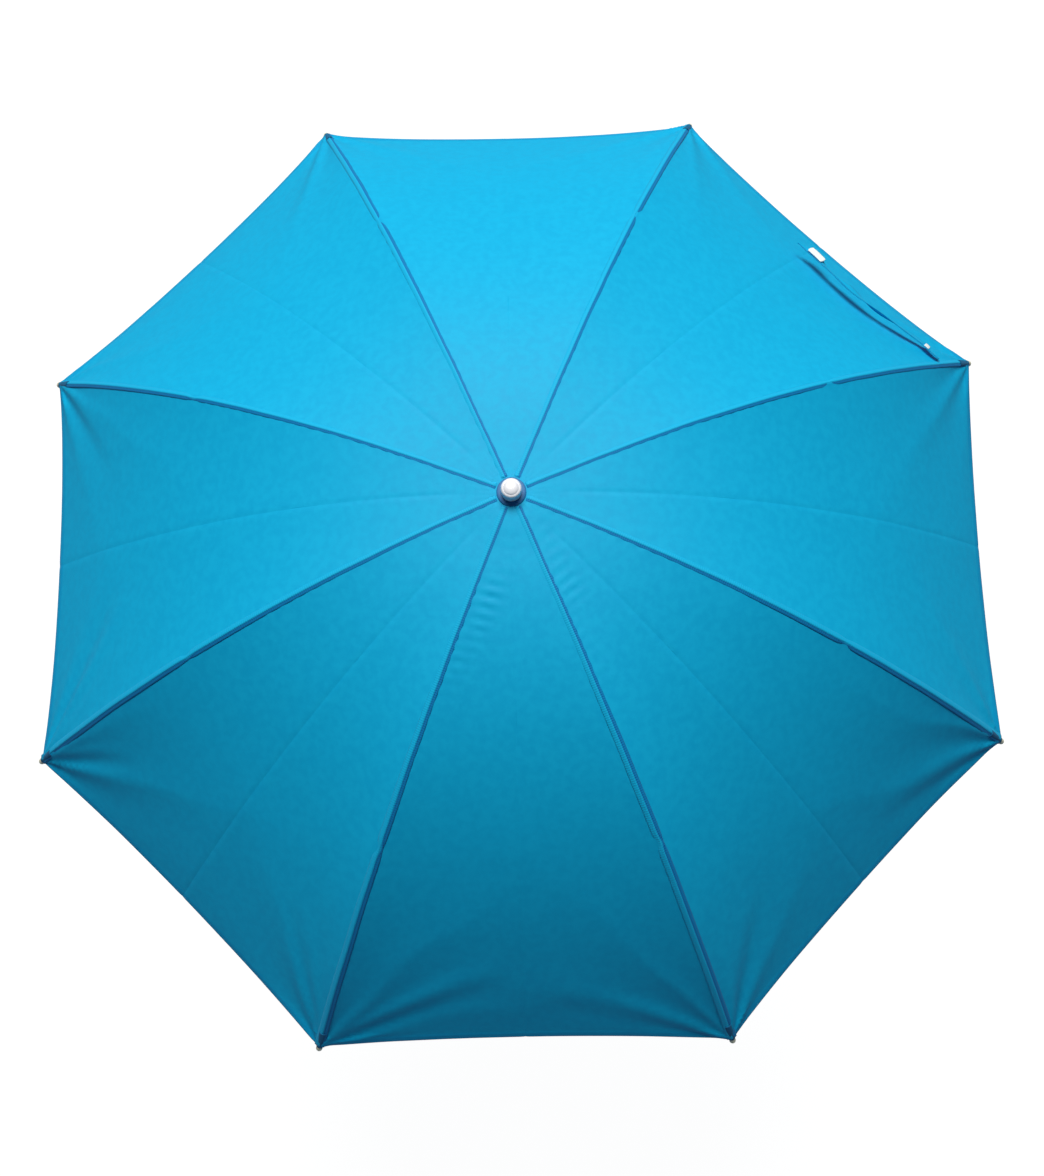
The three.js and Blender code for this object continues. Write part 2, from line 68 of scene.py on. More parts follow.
# ---- sizes, in metres, in the frame's own terms ----
MM = 0.001
JOINTS = {joint["name"]: joint for joint in frame["joints"]}
RIBS = 8
STEP = 2 * math.pi / RIBS
HINGE = Vector(JOINTS["rib_hinge_1"]["pos_m"])
CROWN_Z = HINGE.z
PIVOT_R = HINGE.xy.length
TIP_R = 0.790
DOME_RISE = 0.380
DOME_POWER = 2.18
RUN = TIP_R - PIVOT_R  # u, from 0 at a rib's hinge to 1 at its tip, is a share of this
RIB_ARC = 0.9  # about a rib's length along its curve, so u times this is a distance along the cloth
TIP_Z = CROWN_Z - DOME_RISE
ROD_R = 2 * MM


def azimuth(number):
    """The direction of rib 1 to 8, from the axis its hinge turns about."""
    axis = JOINTS[f"rib_hinge_{number}"]["axis"]
    return math.atan2(-axis[0], axis[1])


def smooth(low, high, value):
    """0 at low, 1 at high, and smooth between them."""
    share = max(0.0, min(1.0, (value - low) / (high - low)))
    return share * share * (3 - 2 * share)


def bump(value, width):
    """1 at 0, falling smoothly to nothing past about twice the width."""
    return math.exp(-((value / width) ** 2))


# ---- camera ----
LENS_MM = 49.4
CAMERA_AZIMUTH = math.radians(2.9)
CAMERA_ELEVATION = math.radians(77.0)
CAMERA_ROLL = math.radians(-4.1)
CAMERA_DISTANCE = 2.536
SENSOR_MM = 36
SHIFT = (0.0051, -0.0264)


def camera():
    """Looks down on the canopy from a little in front of the pole, rolled slightly."""
    back = Vector((math.sin(CAMERA_AZIMUTH) * math.cos(CAMERA_ELEVATION),
                   -math.cos(CAMERA_AZIMUTH) * math.cos(CAMERA_ELEVATION),
                   math.sin(CAMERA_ELEVATION)))
    level = Vector((math.cos(CAMERA_AZIMUTH), math.sin(CAMERA_AZIMUTH), 0))
    upright = back.cross(level)
    right = level * math.cos(CAMERA_ROLL) + upright * math.sin(CAMERA_ROLL)
    top = upright * math.cos(CAMERA_ROLL) - level * math.sin(CAMERA_ROLL)
    data = bpy.data.cameras.new("camera")
    data.lens = LENS_MM
    data.sensor_width = SENSOR_MM
    data.shift_x, data.shift_y = SHIFT
    data.clip_end = 60
    eye = bpy.data.objects.new("camera", data)
    bpy.context.scene.collection.objects.link(eye)
    turn = Matrix((right, top, back)).transposed().to_4x4()
    eye.matrix_world = Matrix.Translation(Vector((0, 0, TIP_Z)) + back * CAMERA_DISTANCE) @ turn
    bpy.context.scene.camera = eye


camera()


# ---- materials ----
COLOUR_MIX = {"data_type": "RGBA"}
FACTOR, COLOUR_A, COLOUR_B, MIXED = 0, 6, 7, 2  # the colour mix's sockets, which share their names
SMOOTH_STEP = {"interpolation_type": "SMOOTHSTEP"}
MULTIPLY = {"operation": "MULTIPLY"}
SINE = {"operation": "SINE"}


def linear(hex_colour):
    """sRGB hex to linear, with alpha."""
    parts = [int(hex_colour[k:k + 2], 16) / 255 for k in (1, 3, 5)]
    return tuple(c / 12.92 if c <= 0.04045 else ((c + 0.055) / 1.055) ** 2.4 for c in parts) + (1.0,)


def add(tree, kind, settings=None, sockets=None):
    """Adds a node with its settings, and its sockets' values or links."""
    node = tree.nodes.new(kind)
    for name, value in (settings or {}).items():
        setattr(node, name, value)
    for name, value in (sockets or {}).items():
        if isinstance(value, bpy.types.NodeSocket):
            tree.links.new(value, node.inputs[name])
        else:
            node.inputs[name].default_value = value
    return node


def new_material(name):
    material = bpy.data.materials.new(name)
    material.use_nodes = True
    tree = material.node_tree
    shader = tree.nodes["Principled BSDF"]
    return material, tree, shader


CLOTH_BLUE = linear("#02a2d7")
CLOTH_PALE = linear("#06a9dc")
# painted shade: a darker blue laid along the hem, beside the seams and past the seam's lap
CLOTH_PAINTED_SHADE = linear("#0179b8")
# painted shadow: the shaded blue of the seam's gap
CLOTH_SHADE = linear("#016cb0")
STITCH_BLUE = linear("#015696")
THREAD_PITCH = 1.1 * MM  # real threads lie 0.2 mm apart; drawn coarser so that the weave shows
STITCH_PITCH = 3.5 * MM
STITCH_HALF_WIDTH = 0.5 * MM
STITCH_SHARE = 0.62  # of the pitch that is thread, the rest being the dip between two stitches
HEM_STITCH = 10 * MM  # in from the hem
WELT_STITCH = 2 * MM  # beside the rib's line


def stitches(tree, along, across, at):
    """1 on a broken line of stitches at a distance across, 0 off it."""
    beside = add(tree, "ShaderNodeMath", {"operation": "SUBTRACT"}, {0: across, 1: at}).outputs[0]
    off_line = add(tree, "ShaderNodeMath", {"operation": "ABSOLUTE"}, {0: beside}).outputs[0]
    line = add(tree, "ShaderNodeMath", {"operation": "LESS_THAN"},
               {0: off_line, 1: STITCH_HALF_WIDTH}).outputs[0]
    count = add(tree, "ShaderNodeMath", {"operation": "DIVIDE"}, {0: along, 1: STITCH_PITCH}).outputs[0]
    part = add(tree, "ShaderNodeMath", {"operation": "FRACT"}, {0: count}).outputs[0]
    dash = add(tree, "ShaderNodeMath", {"operation": "LESS_THAN"}, {0: part, 1: STITCH_SHARE}).outputs[0]
    return add(tree, "ShaderNodeMath", MULTIPLY, {0: line, 1: dash}).outputs[0]


def weave_height(tree, along, across):
    """Height of a plain weave: warp and weft waves that take turns on top."""
    waves = []
    for place in (across, along):
        turn = add(tree, "ShaderNodeMath", MULTIPLY, {0: place, 1: 2 * math.pi / THREAD_PITCH}).outputs[0]
        waves.append(add(tree, "ShaderNodeMath", SINE, {0: turn}).outputs[0])
    warp, weft = waves
    return add(tree, "ShaderNodeMath", MULTIPLY, {0: warp, 1: weft}).outputs[0]


def polyester_canopy():
    """Plain-woven dyed polyester, calendered: even turquoise blue with a soft sheen and faint slubs, with
    painted shade along the hem and beside the seams.
    """
    material, tree, shader = new_material("plain_woven_polyester")
    place = add(tree, "ShaderNodeTexCoord").outputs["Object"]
    along, across, hem, seam = [add(tree, "ShaderNodeAttribute", {"attribute_name": name}).outputs["Fac"]
                                for name in ("along", "across", "hem", "seam")]
    slub = add(tree, "ShaderNodeTexNoise", None,
               {"Vector": place, "Scale": 90.0, "Detail": 4.0, "Roughness": 0.5}).outputs["Fac"]
    paler = add(tree, "ShaderNodeMapRange", SMOOTH_STEP,
                {"Value": slub, "From Min": 0.3, "From Max": 0.7}).outputs["Result"]
    colour = add(tree, "ShaderNodeMix", COLOUR_MIX,
                 {FACTOR: paler, COLOUR_A: CLOTH_BLUE, COLOUR_B: CLOTH_PALE}).outputs[MIXED]
    # painted shade: the cloth darkens within 11 mm of its edge, along the canopy's hem and both edges of the
    # tie strap, for the shade of a folded edge
    painted_edge_shade = add(tree, "ShaderNodeMapRange", SMOOTH_STEP,
                   {"Value": hem, "From Min": 11 * MM, "From Max": 12.5 * MM,
                    "To Min": 0.35, "To Max": 0.0}).outputs["Result"]
    colour = add(tree, "ShaderNodeMix", COLOUR_MIX,
                 {FACTOR: painted_edge_shade, COLOUR_A: colour, COLOUR_B: CLOTH_PAINTED_SHADE}).outputs[MIXED]
    # painted shade: the cloth darkens a little within 7.5 mm of each seam, for the shade of the welt's groove
    near_seam = add(tree, "ShaderNodeMapRange", SMOOTH_STEP,
                    {"Value": seam, "From Min": 2.5 * MM, "From Max": 7.5 * MM,
                     "To Min": 0.12, "To Max": 0.0}).outputs["Result"]
    colour = add(tree, "ShaderNodeMix", COLOUR_MIX,
                 {FACTOR: near_seam, COLOUR_A: colour, COLOUR_B: CLOTH_PAINTED_SHADE}).outputs[MIXED]
    sewn = stitches(tree, along, hem, HEM_STITCH)
    thread = add(tree, "ShaderNodeMath", MULTIPLY, {0: sewn, 1: 0.8}).outputs[0]
    colour = add(tree, "ShaderNodeMix", COLOUR_MIX,
                 {FACTOR: thread, COLOUR_A: colour, COLOUR_B: STITCH_BLUE}).outputs[MIXED]
    tree.links.new(colour, shader.inputs["Base Color"])
    rough = add(tree, "ShaderNodeMapRange", None,
                {"Value": slub, "To Min": 0.54, "To Max": 0.64}).outputs["Result"]
    tree.links.new(rough, shader.inputs["Roughness"])
    shader.inputs["Sheen Weight"].default_value = 0.03
    shader.inputs["Sheen Roughness"].default_value = 0.4
    shader.inputs["Sheen Tint"].default_value = CLOTH_PALE
    shader.inputs["IOR"].default_value = 1.29
    crease = add(tree, "ShaderNodeTexNoise", None,
                 {"Vector": place, "Scale": 28.0, "Detail": 5.0, "Roughness": 0.6}).outputs["Fac"]
    weave = add(tree, "ShaderNodeBump", None,
                {"Strength": 0.12, "Distance": 0.15 * MM, "Height": weave_height(tree, along, across)})
    creased = add(tree, "ShaderNodeBump", None,
                  {"Strength": 0.35, "Distance": 1.2 * MM, "Height": crease,
                   "Normal": weave.outputs["Normal"]})
    tree.links.new(creased.outputs["Normal"], shader.inputs["Normal"])
    return material


def polyester_seam():
    """The same cloth doubled over and topstitched: painted shadow in the gap beside the lap, and broken
    stitching.
    """
    material, tree, shader = new_material("topstitched_polyester_seam")
    place = add(tree, "ShaderNodeTexCoord").outputs["Object"]
    along, across = [add(tree, "ShaderNodeAttribute", {"attribute_name": name}).outputs["Fac"]
                     for name in ("along", "across")]
    slub = add(tree, "ShaderNodeTexNoise", None,
               {"Vector": place, "Scale": 40.0, "Detail": 3.0, "Roughness": 0.5}).outputs["Fac"]
    deeper = add(tree, "ShaderNodeMath", MULTIPLY, {0: slub, 1: 0.3}).outputs[0]
    colour = add(tree, "ShaderNodeMix", COLOUR_MIX,
                 {FACTOR: deeper, COLOUR_A: CLOTH_PALE, COLOUR_B: CLOTH_BLUE}).outputs[MIXED]
    # painted shadow: the gap side of the welt, from about 1 mm past the rib's line outward, is coloured a
    # shaded blue
    gap = add(tree, "ShaderNodeMapRange", SMOOTH_STEP,
              {"Value": across, "From Min": 0.3 * MM, "From Max": 1 * MM, "To Max": 0.85}).outputs["Result"]
    colour = add(tree, "ShaderNodeMix", COLOUR_MIX,
                 {FACTOR: gap, COLOUR_A: colour, COLOUR_B: CLOTH_SHADE}).outputs[MIXED]
    # painted shade: a little darker again past the lap's edge
    lap = add(tree, "ShaderNodeMapRange", SMOOTH_STEP,
              {"Value": across, "From Min": 2.9 * MM, "From Max": 3.8 * MM, "To Max": 0.1}).outputs["Result"]
    colour = add(tree, "ShaderNodeMix", COLOUR_MIX,
                 {FACTOR: lap, COLOUR_A: colour, COLOUR_B: CLOTH_PAINTED_SHADE}).outputs[MIXED]
    sewn = stitches(tree, along, across, WELT_STITCH)
    thread = add(tree, "ShaderNodeMath", MULTIPLY, {0: sewn, 1: 0.9}).outputs[0]
    colour = add(tree, "ShaderNodeMix", COLOUR_MIX,
                 {FACTOR: thread, COLOUR_A: colour, COLOUR_B: STITCH_BLUE}).outputs[MIXED]
    tree.links.new(colour, shader.inputs["Base Color"])
    shader.inputs["Roughness"].default_value = 0.62
    shader.inputs["Sheen Weight"].default_value = 0.03
    shader.inputs["IOR"].default_value = 1.3
    turn = add(tree, "ShaderNodeMath", MULTIPLY, {0: along, 1: 2 * math.pi / STITCH_PITCH}).outputs[0]
    pulled = add(tree, "ShaderNodeMath", SINE, {0: turn}).outputs[0]
    relief = add(tree, "ShaderNodeBump", None, {"Strength": 0.3, "Distance": 0.3 * MM, "Height": pulled})
    tree.links.new(relief.outputs["Normal"], shader.inputs["Normal"])
    return material


WEBBING_RIB_PITCH = 1.6 * MM


def woven_pocket():
    """Narrow-woven reinforcing webbing: matt, with fine ribs across it, in a deep blue that is partly painted
    shade for the pocket's folds.
    """
    material, tree, shader = new_material("woven_polyester_webbing")
    place = add(tree, "ShaderNodeTexCoord").outputs["Object"]
    along = add(tree, "ShaderNodeAttribute", {"attribute_name": "along"}).outputs["Fac"]
    turn = add(tree, "ShaderNodeMath", MULTIPLY, {0: along, 1: 2 * math.pi / WEBBING_RIB_PITCH}).outputs[0]
    ribbing = add(tree, "ShaderNodeMath", SINE, {0: turn}).outputs[0]
    slub = add(tree, "ShaderNodeTexNoise", None,
               {"Vector": place, "Scale": 60.0, "Detail": 3.0, "Roughness": 0.5}).outputs["Fac"]
    # painted shade in part: the pocket is coloured much darker than the canopy, standing in for the shade it
    # holds
    colour = add(tree, "ShaderNodeMix", COLOUR_MIX,
                 {FACTOR: slub, COLOUR_A: linear("#08507c"), COLOUR_B: linear("#0c6a9c")}).outputs[MIXED]
    tree.links.new(colour, shader.inputs["Base Color"])
    shader.inputs["Roughness"].default_value = 0.7
    shader.inputs["Sheen Weight"].default_value = 0.05
    shader.inputs["Specular IOR Level"].default_value = 0.2
    relief = add(tree, "ShaderNodeBump", None, {"Strength": 0.4, "Distance": 0.3 * MM, "Height": ribbing})
    tree.links.new(relief.outputs["Normal"], shader.inputs["Normal"])
    return material


def coated_metal(name, pale, dark, metallic, roughness, grain, depth):
    """A metal or coating with fine grain and slight clouding. grain is in patterns per metre."""
    material, tree, shader = new_material(name)
    place = add(tree, "ShaderNodeTexCoord").outputs["Object"]
    cloud = add(tree, "ShaderNodeTexNoise", None,
                {"Vector": place, "Scale": 14.0, "Detail": 4.0, "Roughness": 0.5}).outputs["Fac"]
    fine = add(tree, "ShaderNodeTexNoise", None,
               {"Vector": place, "Scale": grain, "Detail": 2.0, "Roughness": 0.5}).outputs["Fac"]
    darker = add(tree, "ShaderNodeMapRange", SMOOTH_STEP,
                 {"Value": cloud, "From Min": 0.35, "From Max": 0.7}).outputs["Result"]
    colour = add(tree, "ShaderNodeMix", COLOUR_MIX,
                 {FACTOR: darker, COLOUR_A: pale, COLOUR_B: dark}).outputs[MIXED]
    tree.links.new(colour, shader.inputs["Base Color"])
    shader.inputs["Metallic"].default_value = metallic
    rough = add(tree, "ShaderNodeMapRange", None,
                {"Value": cloud, "To Min": roughness - 0.06, "To Max": roughness + 0.08}).outputs["Result"]
    tree.links.new(rough, shader.inputs["Roughness"])
    relief = add(tree, "ShaderNodeBump", None, {"Strength": 0.25, "Distance": depth, "Height": fine})
    tree.links.new(relief.outputs["Normal"], shader.inputs["Normal"])
    return material


SPARK_GRAIN = 900.0  # grains per metre of a spark-eroded mould


def moulded_plastic(name, pale, dark, roughness):
    """Injection-moulded plastic: even colour, a fine mould grain, and a skin that carries soft highlights."""
    material, tree, shader = new_material(name)
    place = add(tree, "ShaderNodeTexCoord").outputs["Object"]
    cloud = add(tree, "ShaderNodeTexNoise", None,
                {"Vector": place, "Scale": 25.0, "Detail": 3.0, "Roughness": 0.5}).outputs["Fac"]
    fine = add(tree, "ShaderNodeTexNoise", None,
               {"Vector": place, "Scale": SPARK_GRAIN, "Detail": 2.0, "Roughness": 0.5}).outputs["Fac"]
    colour = add(tree, "ShaderNodeMix", COLOUR_MIX,
                 {FACTOR: cloud, COLOUR_A: pale, COLOUR_B: dark}).outputs[MIXED]
    tree.links.new(colour, shader.inputs["Base Color"])
    rough = add(tree, "ShaderNodeMapRange", None,
                {"Value": fine, "To Min": roughness - 0.05, "To Max": roughness + 0.07}).outputs["Result"]
    tree.links.new(rough, shader.inputs["Roughness"])
    shader.inputs["IOR"].default_value = 1.49
    relief = add(tree, "ShaderNodeBump", None, {"Strength": 0.2, "Distance": 0.15 * MM, "Height": fine})
    tree.links.new(relief.outputs["Normal"], shader.inputs["Normal"])
    return material


HOOKS_PER_METRE = 700.0


def hook_tape():
    """White woven nylon tape covered in small moulded hooks: bright, matt and finely pitted."""
    material, tree, shader = new_material("woven_nylon_hook_tape")
    place = add(tree, "ShaderNodeTexCoord").outputs["Object"]
    hooks = add(tree, "ShaderNodeTexVoronoi", None,
                {"Vector": place, "Scale": HOOKS_PER_METRE}).outputs["Distance"]
    colour = add(tree, "ShaderNodeMix", COLOUR_MIX,
                 {FACTOR: hooks, COLOUR_A: linear("#e9edf0"), COLOUR_B: linear("#f6f8f9")}).outputs[MIXED]
    tree.links.new(colour, shader.inputs["Base Color"])
    shader.inputs["Roughness"].default_value = 0.55
    relief = add(tree, "ShaderNodeBump", None, {"Strength": 0.5, "Distance": 0.5 * MM, "Height": hooks})
    tree.links.new(relief.outputs["Normal"], shader.inputs["Normal"])
    return material


CANOPY = polyester_canopy()
SEAM = polyester_seam()
WEBBING = woven_pocket()
# powder coat: chalky white, with a soft wide highlight down each tube
POWDER_COAT = coated_metal("white_powder_coated_steel", linear("#f1f2f3"), linear("#e4e6e9"),
                           metallic=0.0, roughness=0.38, grain=420.0, depth=0.12 * MM)
# bright zinc: grey metal with clear but slightly blurred reflections
ZINC = coated_metal("bright_zinc_plated_steel", linear("#c9ccd1"), linear("#a9adb4"),
                    metallic=1.0, roughness=0.34, grain=700.0, depth=0.05 * MM)
HOOK_TAPE = hook_tape()
# satin plating over plastic: nearly white, with one soft bright glint on the dome
SILVER = coated_metal("satin_silver_plating", linear("#f6f3fd"), linear("#e9e6f4"),
                      metallic=0.12, roughness=0.32, grain=300.0, depth=0.05 * MM)
# polypropylene: waxy white; nylon: warmer and duller; ABS: deep blue with a dull shine
WHITE_PP = moulded_plastic("moulded_white_polypropylene", linear("#eceef0"), linear("#e2e5e8"), 0.42)
CREAM_NYLON = moulded_plastic("moulded_cream_nylon", linear("#eee6d2"), linear("#ddd2b8"), 0.45)
BLUE_ABS = moulded_plastic("moulded_deep_blue_abs", linear("#1468a6"), linear("#115d98"), 0.5)


# ---- mesh helpers ----
def show(name, mesh, material, body, stands_for=()):
    """Makes a finished piece from a mesh whose points are in the row frame."""
    piece = bpy.data.objects.new(name, mesh)
    bpy.context.scene.collection.objects.link(piece)
    mesh.materials.clear()
    mesh.materials.append(material)
    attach(piece, body)
    if stands_for:
        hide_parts(*stands_for)
    return piece


def mesh_from(bm, name, sharp_deg=40.0):
    """A smooth-shaded mesh, with edges past the angle kept sharp."""
    mesh = bpy.data.meshes.new(name)
    bm.to_mesh(mesh)
    bm.free()
    for polygon in mesh.polygons:
        polygon.use_smooth = True
    mesh.set_sharp_from_angle(angle=math.radians(sharp_deg))
    return mesh


def turned(outline, sides):
    """A closed turned solid about Z. Its [radius, height] outline ends on the axis, or on its own start."""
    bm = bmesh.new()
    ring = [bm.verts.new((radius, 0, height)) for radius, height in outline]
    edges = [bm.edges.new(pair) for pair in zip(ring, ring[1:])]
    bmesh.ops.spin(bm, geom=ring + edges, cent=(0, 0, 0), axis=(0, 0, 1), angle=2 * math.pi,
                   steps=sides, use_merge=True, use_duplicate=False)
    bmesh.ops.remove_doubles(bm, verts=bm.verts, dist=1e-6)
    bmesh.ops.dissolve_degenerate(bm, edges=bm.edges, dist=1e-7)
    bmesh.ops.recalc_face_normals(bm, faces=bm.faces)
    return bm


def arc(centre, wide, high, start_deg, end_deg, steps):
    """Points of [radius, height] along part of an ellipse."""
    angles = [math.radians(start_deg + (end_deg - start_deg) * k / steps) for k in range(steps + 1)]
    return [(max(0.0, centre[0] + wide * math.cos(a)), centre[1] + high * math.sin(a)) for a in angles]


def rod_mesh(name, points, radius):
    """A round wire through points, with closed ends."""
    curve = bpy.data.curves.new(name, "CURVE")
    curve.dimensions = "3D"
    curve.bevel_depth = radius
    curve.bevel_resolution = 4
    curve.use_fill_caps = True
    spline = curve.splines.new("POLY")
    spline.points.add(len(points) - 1)
    for place, point in zip(spline.points, points):
        place.co = (*point, 1)
    holder = bpy.data.objects.new(name, curve)
    mesh = bpy.data.meshes.new_from_object(holder)
    bpy.data.objects.remove(holder)
    bpy.data.curves.remove(curve)
    for polygon in mesh.polygons:
        polygon.use_smooth = True
    mesh.set_sharp_from_angle(angle=math.radians(50))
    return mesh


def refined(node, material, edge_mm):
    """A smooth-edged piece of the CAD node's own shape."""
    bm = bmesh.new()
    bm.from_mesh(frame["nodes"][node].data)
    bmesh.ops.remove_doubles(bm, verts=bm.verts, dist=2e-6)
    bmesh.ops.dissolve_limit(bm, angle_limit=math.radians(1), verts=bm.verts, edges=bm.edges)
    mesh = mesh_from(bm, node, 35)
    body = frame["nodes"][node]["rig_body"]
    piece = show(f"{node}_body", mesh, material, body, (node,))
    edge = piece.modifiers.new("edge", "BEVEL")
    edge.width = edge_mm * MM
    edge.segments = 2
    edge.limit_method = "ANGLE"
    edge.angle_limit = math.radians(35)
    edge.harden_normals = False
    even = piece.modifiers.new("even_shading", "WEIGHTED_NORMAL")
    even.keep_sharp = True


# ---- the rib line and the canopy's surface ----
def rib_z(u):
    """Height of the rib's line: flat at the crown and steeper toward the tip."""
    return CROWN_Z - DOME_RISE * max(u, 0.0) ** DOME_POWER


def slope(u):
    """How steeply the rib falls there, in radians."""
    return math.atan(DOME_RISE * DOME_POWER * max(u, 0.0) ** (DOME_POWER - 1) / RUN)


CLOTH_LIFT = 4.6 * MM  # the cloth over the rib's centre line
HUB_LIFT = 7.2 * MM  # the same by the hub, where the cloth climbs to the crown's top
HUB_R = 20 * MM
HUB_BLEND_R = 90 * MM
CANOPY_HOLE_R = 11 * MM
HEM_DIP = (10 * MM, 18 * MM, 9 * MM, 9 * MM, 2 * MM, 2 * MM, 6 * MM, 1 * MM)  # by gore, as each is drawn
SAG = 10 * MM  # how far the middle of a gore hangs below the straight line between its ribs


def on_rib(number, u, height):
    """A point above rib number (1 to 8) in the rib's own plane, height along its normal."""
    tilt = slope(u)
    radius = PIVOT_R + RUN * u + height * math.sin(tilt)
    angle = azimuth(number)
    return Vector((radius * math.cos(angle), radius * math.sin(angle), rib_z(u) + height * math.cos(tilt)))


def cloth_height(u):
    """How far the cloth stands over the rib's centre line."""
    near_hub = 1 - smooth(HUB_R, HUB_BLEND_R, PIVOT_R + RUN * u)
    return CLOTH_LIFT + (HUB_LIFT - CLOTH_LIFT) * near_hub


def fan(seed, across, along, strength):
    """Soft tension folds that run out from a tip. across and along are distances from the tip."""
    reach = math.hypot(across, along)
    turn = math.atan2(across, along) + 0.10 * noise.noise(Vector((seed, reach * 9, 4.0)))
    grip = (1 - bump(reach, 0.020)) * math.exp(-reach / 0.13)
    window = math.sin(min(math.pi, max(0.0, turn * 2))) ** 0.5
    ridge = 1 - 2 * abs(math.sin(4.25 * turn + 1.15 * seed)) ** 0.85
    return strength * grip * window * ridge


def long_fold(across, along, bearing_deg, length, height):
    """One long soft pleat from a tip, across the gore at a bearing from the rib."""
    bearing = math.radians(bearing_deg)
    out = across * math.sin(bearing) + along * math.cos(bearing)
    off = across * math.cos(bearing) - along * math.sin(bearing) - 0.12 * out * out / length
    width = 0.004 + 0.075 * max(out, 0.0)
    share = max(0.0, min(1.0, out / length))
    profile = bump(off, width) - 0.7 * bump(off - 1.7 * width, width)
    return height * math.sin(math.pi * share ** 0.6) * profile


def folds(gore, u, x, point):
    """How far the cloth stands off its taut shape, in metres."""
    radius = PIVOT_R + RUN * u
    width = 2 * radius * math.sin(STEP / 2)
    from_first = (1 + x) / 2 * width
    from_second = (1 - x) / 2 * width
    near_seam = min(from_first, from_second)
    down = (1 - u) * RIB_ARC
    strength = (4.0 + 1.6 * noise.noise(Vector((gore * 3.1, 0.5, 2.0)))) * MM
    off = fan(gore, from_first, down, strength) + fan(gore + 3.0, from_second, down, strength * 0.9)
    if gore == 6:
        off += long_fold(from_first, down, 54, 0.27, 3.4 * MM)
        off += long_fold(from_second, down, 62, 0.26, 2.2 * MM)
    if gore == 5:
        off += long_fold(from_second, down, 22, 0.20, 2.6 * MM)
        off += long_fold(from_first, down, 20, 0.16, 2.2 * MM)
    if gore == 7:
        off += long_fold(from_first, down, 26, 0.20, 2.2 * MM)
        off += long_fold(from_second, down, 60, 0.22, 2.0 * MM)
    if gore in (3, 4):
        off += long_fold(from_first, down, 30, 0.20, 2.0 * MM)
    if gore == 4:
        off += long_fold(from_second, down, 33, 0.25, 5.0 * MM)
    if gore in (6, 7):
        gather = bump(radius - 0.17, 0.085) * bump(from_first - 0.022, 0.019)
        beat = math.sin(2 * math.pi * (u * RIB_ARC - 0.25 * from_first) / 0.019 + 6 * noise.noise(point * 7))
        off += 1.0 * MM * gather * beat * (0.45 + noise.noise(point * 21))
    ripple = math.sin(2 * math.pi * u * RIB_ARC / 0.023 + 5 * noise.noise(point * 9))
    off += 0.22 * MM * ripple * bump(near_seam, 0.012) * (0.3 + noise.noise(point * 6 + Vector((gore, 0, 0))))
    gathered = math.exp(-(radius - HUB_R) / 0.03) * smooth(0.02, 0.05, radius)
    off += 0.08 * MM * math.cos(5 * math.pi * x) * gathered
    middle = abs(x) * width / 2
    pressed = 0.05 if gore == 2 else 0.5
    off -= pressed * MM * bump(middle, 0.004) * smooth(0.03, 0.15, u)
    off += 1.3 * MM * noise.noise(point * 2.6) * smooth(0.0, 0.05, near_seam)
    off += 0.2 * MM * noise.noise(point * 12) * smooth(0.0, 0.03, near_seam)
    return off * smooth(0.0, 0.012, near_seam + 0.004)


def on_gore(gore, u, x, lift=0.0):
    """A point on gore 1 to 8, x from -1 on its first rib to +1 on the next."""
    dipped = u - HEM_DIP[gore - 1] / RUN * (1 - x ** 4) * max(u, 0.0) ** 3
    height = cloth_height(dipped) + lift
    first = on_rib(gore, dipped, height)
    second = on_rib(gore % RIBS + 1, dipped, height)
    place = first.lerp(second, (1 + x) / 2)
    middle = azimuth(gore) + STEP / 2
    tilt = slope(dipped)
    outward = Vector((math.sin(tilt) * math.cos(middle), math.sin(tilt) * math.sin(middle), math.cos(tilt)))
    sag = SAG * (1 - x * x) * smooth(0.02, 0.7, dipped)
    return place + outward * (folds(gore, dipped, x, place) - sag)


ROWS = 150
HEM_ROWS = 12
HEM_DEPTH = 14 * MM
COLUMNS = 40


def row_place(k):
    """u of row k, from the hub to the hem, with the last rows close together in the hem."""
    start = (CANOPY_HOLE_R - PIVOT_R) / RUN
    hem_start = 1 - HEM_DEPTH / RUN
    if k <= ROWS:
        share = k / ROWS
        return start + (hem_start - start) * (0.75 * share + 0.25 * share * share)
    return hem_start + (1 - hem_start) * (k - ROWS) / HEM_ROWS


def column_place(k):
    """Share of the way from the rib to the middle of the gore, with columns closer at both ends."""
    share = min(1.0, k / COLUMNS)
    return 0.35 * share + 0.65 * (1 - math.cos(math.pi * share)) / 2


LAP_COLUMNS = 6
LAP = 24 * MM  # spare cloth tucked under the next half, which closes the top when the umbrella is folded
LAP_DEPTH = 1.3 * MM


def lap_place(gore, u, hand, share):
    """A point on the spare cloth, share 0 at the middle of the gore and 1 at its free edge."""
    width = LAP * smooth(0.44, 0.30, u) * smooth(-0.004, 0.03, u) + 0.4 * MM
    half = (PIVOT_R + RUN * u) * math.sin(STEP / 2)
    x = min(0.9, share * width / half)
    return on_gore(gore, u, hand * x, -0.3 * MM - LAP_DEPTH * smooth(0, 0.25, share))


def grid(rows, columns, *names):
    """A flat grid of rows by columns steps, each corner's row and column, and a float layer for each name."""
    bm = bmesh.new()
    for name in names:
        bm.verts.layers.float.new(name)
    layers = [bm.verts.layers.float[name] for name in names]
    bmesh.ops.create_grid(bm, x_segments=rows, y_segments=columns, size=0.5)
    places = [(vert, round((vert.co.x + 0.5) * rows), round((vert.co.y + 0.5) * columns))
              for vert in bm.verts]
    return bm, places, layers


